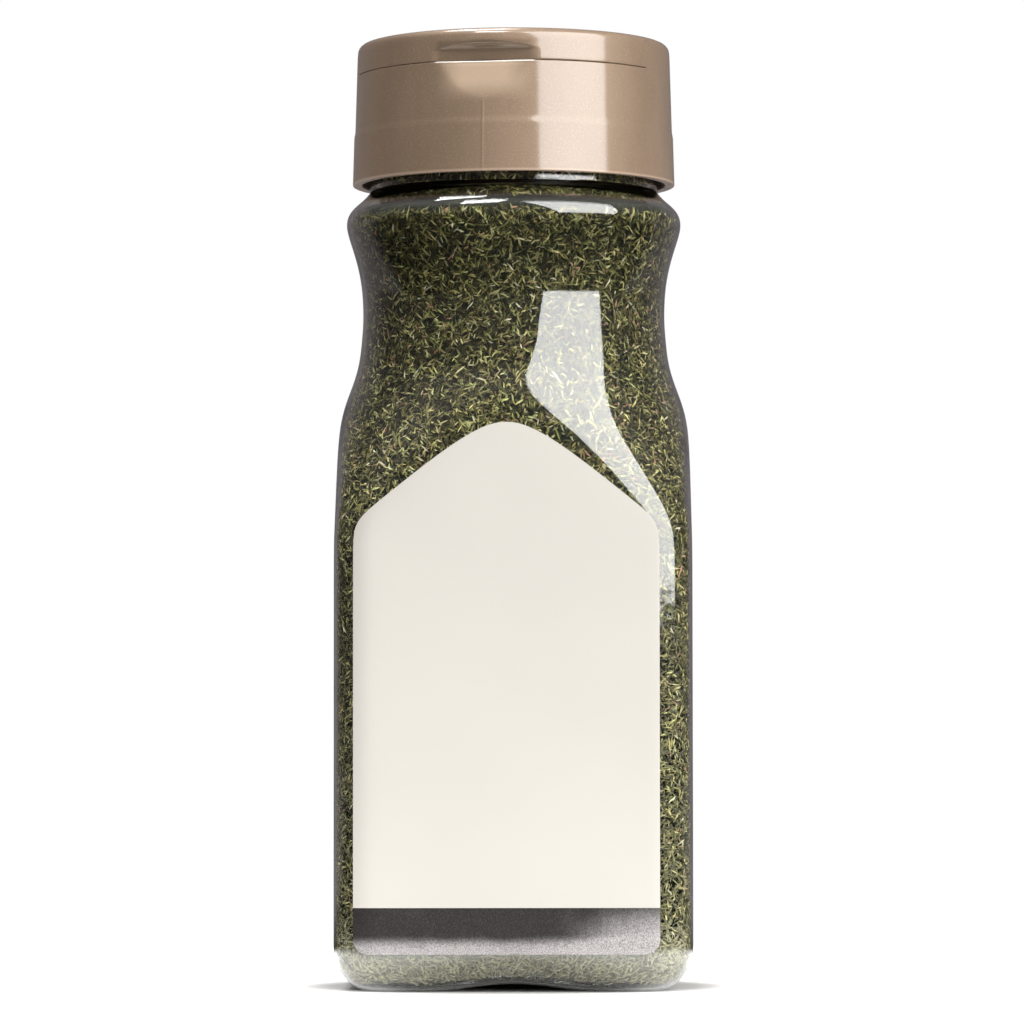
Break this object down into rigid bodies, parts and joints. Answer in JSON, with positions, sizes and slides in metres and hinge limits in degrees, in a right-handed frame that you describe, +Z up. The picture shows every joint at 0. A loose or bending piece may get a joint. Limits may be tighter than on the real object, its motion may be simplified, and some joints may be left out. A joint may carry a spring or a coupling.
{
  "type": "jar of dried dill",
  "caption": "Clear square-grip plastic jar filled with dried dill, with a bare house-shaped label and a screw cap that has a spoon flap and a sifter flap.",
  "frame": {"origin": "centre of the base, on the surface that the jar stands on", "axes": "+Z up along the jar's axis, -Y out of the front panel that carries the label, +X to the right seen from the front"},
  "size_m": [0.062, 0.0626, 0.1663],
  "materials": {
    "clear_plastic": "gloss",
    "dried_dill": "matte",
    "label_paper": "matte",
    "bronze_plastic": "satin"
  },
  "bodies": {
    "jar": {"jar": "clear_plastic", "dill": "dried_dill", "label": "label_paper"},
    "cap": {"cap": "bronze_plastic"},
    "flap_spoon": {"flap_spoon": "bronze_plastic"},
    "flap_sifter": {"flap_sifter": "bronze_plastic"}
  },
  "joints": [
    {"name": "cap_lift", "type": "slide", "parent": "jar", "child": "cap", "axis": [0, 0, 1], "range_m": [0, 0.03]},
    {"name": "spoon_flap_hinge", "type": "hinge", "parent": "cap", "child": "flap_spoon", "pos_m": [-0.00129, -0.00688, 0.1663], "axis": [-0.9829, 0.184, 0], "range_deg": [0, 100]},
    {"name": "sifter_flap_hinge", "type": "hinge", "parent": "cap", "child": "flap_sifter", "pos_m": [0.00129, 0.00688, 0.1663], "axis": [0.9829, -0.184, 0], "range_deg": [0, 100]}
  ]
}
